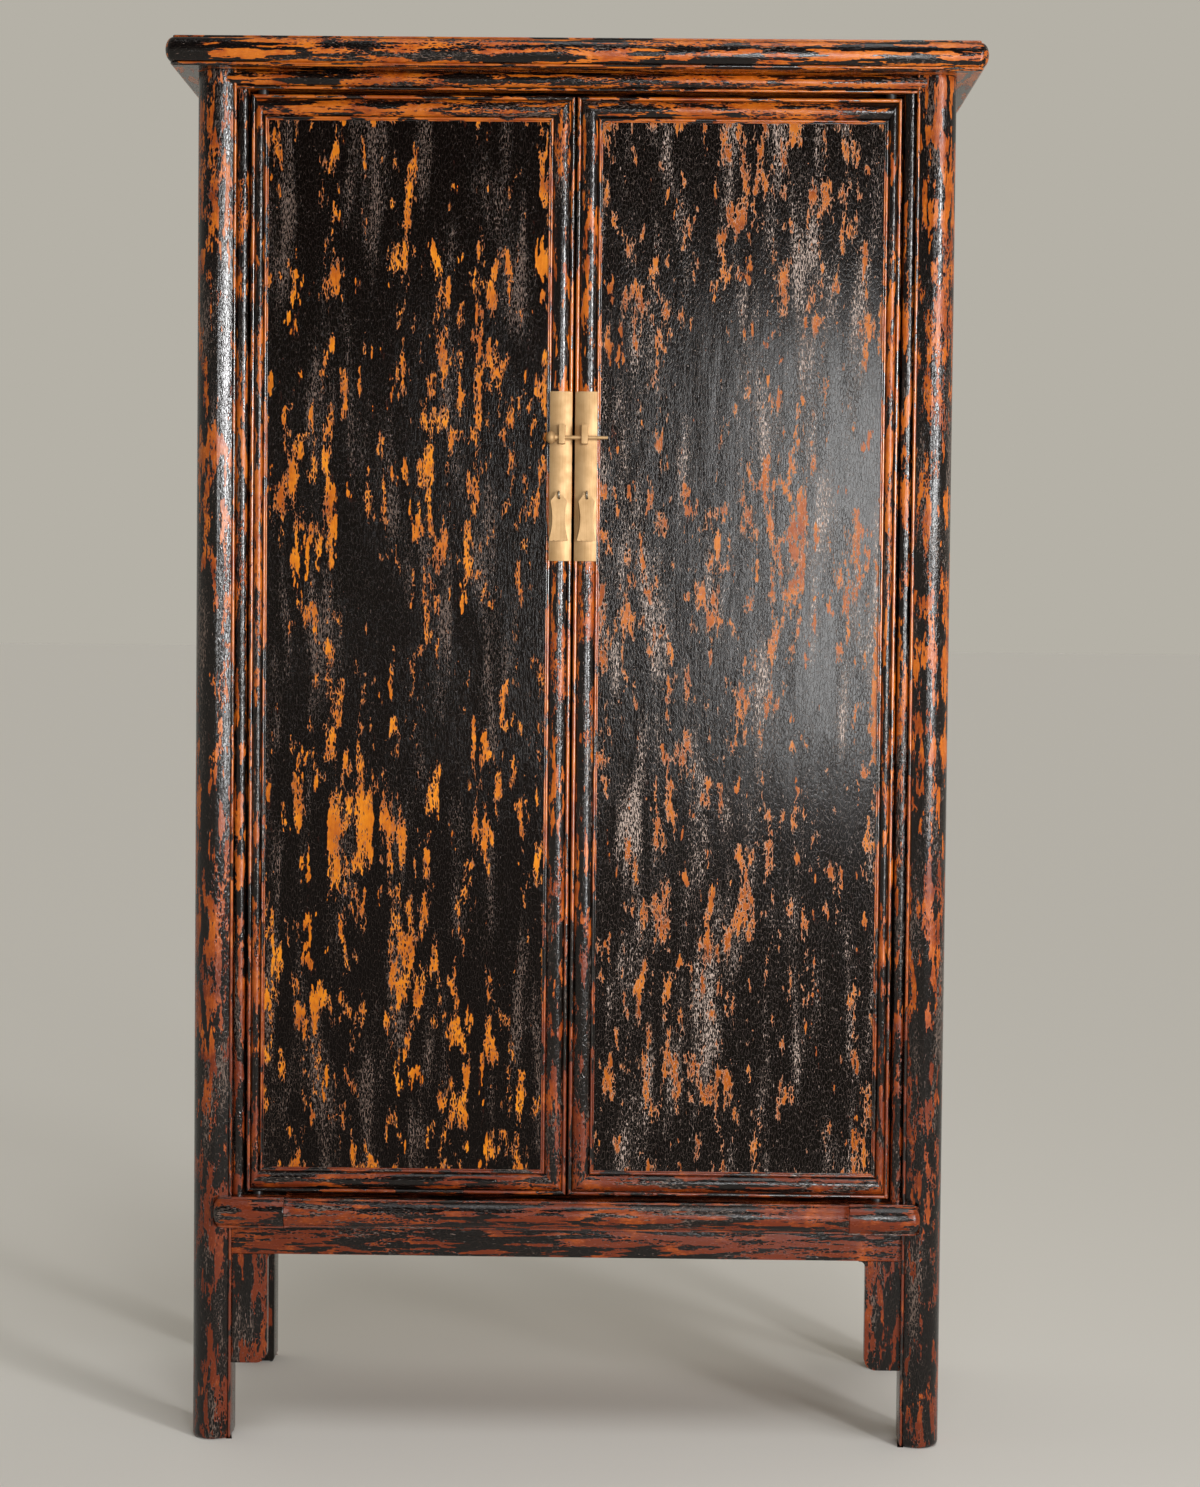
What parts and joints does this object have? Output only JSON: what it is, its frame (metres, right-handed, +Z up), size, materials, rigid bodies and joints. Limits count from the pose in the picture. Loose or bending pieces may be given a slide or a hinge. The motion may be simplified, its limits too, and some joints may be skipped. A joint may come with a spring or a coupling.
{
  "type": "lacquered cabinet",
  "caption": "Tall lacquered cabinet with rounded posts, overhanging cap, paired panel doors on wooden pivots, brass lock plates, sliding pin and hanging pulls.",
  "frame": {"origin": "on the floor under the middle of the cap's outline", "axes": "+X to the right seen from the front, -Y out of the doors, +Z up"},
  "size_m": [1.063, 0.531, 1.84],
  "materials": {
    "lacquer": "black lacquer worn through to an orange-red undercoat, glossy",
    "worn_lacquer": "orange-red undercoat with black lacquer left in streaks, glossy",
    "plain_wood": "bare old elm, matt",
    "brass": "satin, lightly aged",
    "eye_steel": "dull bent strip"
  },
  "bodies": {
    "carcass": {"post_front_left": "lacquer", "post_front_right": "lacquer", "post_rear_left": "lacquer", "post_rear_right": "lacquer", "cap_rail_front": "worn_lacquer", "cap_rail_rear": "worn_lacquer", "cap_rail_left": "worn_lacquer", "cap_rail_right": "worn_lacquer", "cap_panel": "lacquer", "top_rail_front": "worn_lacquer", "top_rail_rear": "lacquer", "top_rail_left": "lacquer", "top_rail_right": "lacquer", "stretcher_front": "worn_lacquer", "pivot_block_left": "worn_lacquer", "pivot_block_right": "worn_lacquer", "bottom_rail_rear": "lacquer", "bottom_rail_left": "lacquer", "bottom_rail_right": "lacquer", "apron_front": "worn_lacquer", "apron_left": "lacquer", "apron_right": "lacquer", "spandrel_left": "worn_lacquer", "spandrel_right": "worn_lacquer", "jamb_left": "worn_lacquer", "jamb_right": "worn_lacquer", "side_panel_left": "lacquer", "side_panel_right": "lacquer", "back_panel_left": "plain_wood", "back_panel_right": "plain_wood", "back_muntin": "plain_wood", "floor_panel": "plain_wood", "shelf_lower": "plain_wood", "shelf_upper": "plain_wood", "shelf_bearer_lower_left": "plain_wood", "shelf_bearer_lower_right": "plain_wood", "shelf_bearer_upper_left": "plain_wood", "shelf_bearer_upper_right": "plain_wood"},
    "left_door": {"left_door_hinge_stile": "worn_lacquer", "left_door_meeting_stile": "worn_lacquer", "left_door_top_rail": "worn_lacquer", "left_door_bottom_rail": "worn_lacquer", "left_door_panel": "lacquer", "left_door_batten": "plain_wood", "left_lock_plate": "brass", "left_lock_lug": "brass", "left_pull_eye": "eye_steel"},
    "right_door": {"right_door_hinge_stile": "worn_lacquer", "right_door_meeting_stile": "worn_lacquer", "right_door_top_rail": "worn_lacquer", "right_door_bottom_rail": "worn_lacquer", "right_door_panel": "lacquer", "right_door_batten": "plain_wood", "right_lock_plate": "brass", "right_lock_lug": "brass", "right_pull_eye": "eye_steel"},
    "left_pull": {"left_pull": "brass"},
    "right_pull": {"right_pull": "brass"},
    "lock_pin": {"lock_pin": "brass"}
  },
  "joints": [
    {"name": "left_door_swing", "type": "hinge", "parent": "carcass", "child": "left_door", "pos_m": [-0.4102, -0.207, 0.33], "axis": [0, 0, -1], "range_deg": [0, 100]},
    {"name": "right_door_swing", "type": "hinge", "parent": "carcass", "child": "right_door", "pos_m": [0.4102, -0.207, 0.33], "axis": [0, 0, 1], "range_deg": [0, 100]},
    {"name": "left_pull_swing", "type": "hinge", "parent": "left_door", "child": "left_pull", "pos_m": [-0.01825, -0.2283, 1.2535], "axis": [-1, 0, 0], "range_deg": [0, 95]},
    {"name": "right_pull_swing", "type": "hinge", "parent": "right_door", "child": "right_pull", "pos_m": [0.01825, -0.2283, 1.2535], "axis": [-1, 0, 0], "range_deg": [0, 95]},
    {"name": "lock_pin_slide", "type": "slide", "parent": "left_door", "child": "lock_pin", "axis": [-1, 0, 0], "range_m": [0, 0.052]}
  ]
}
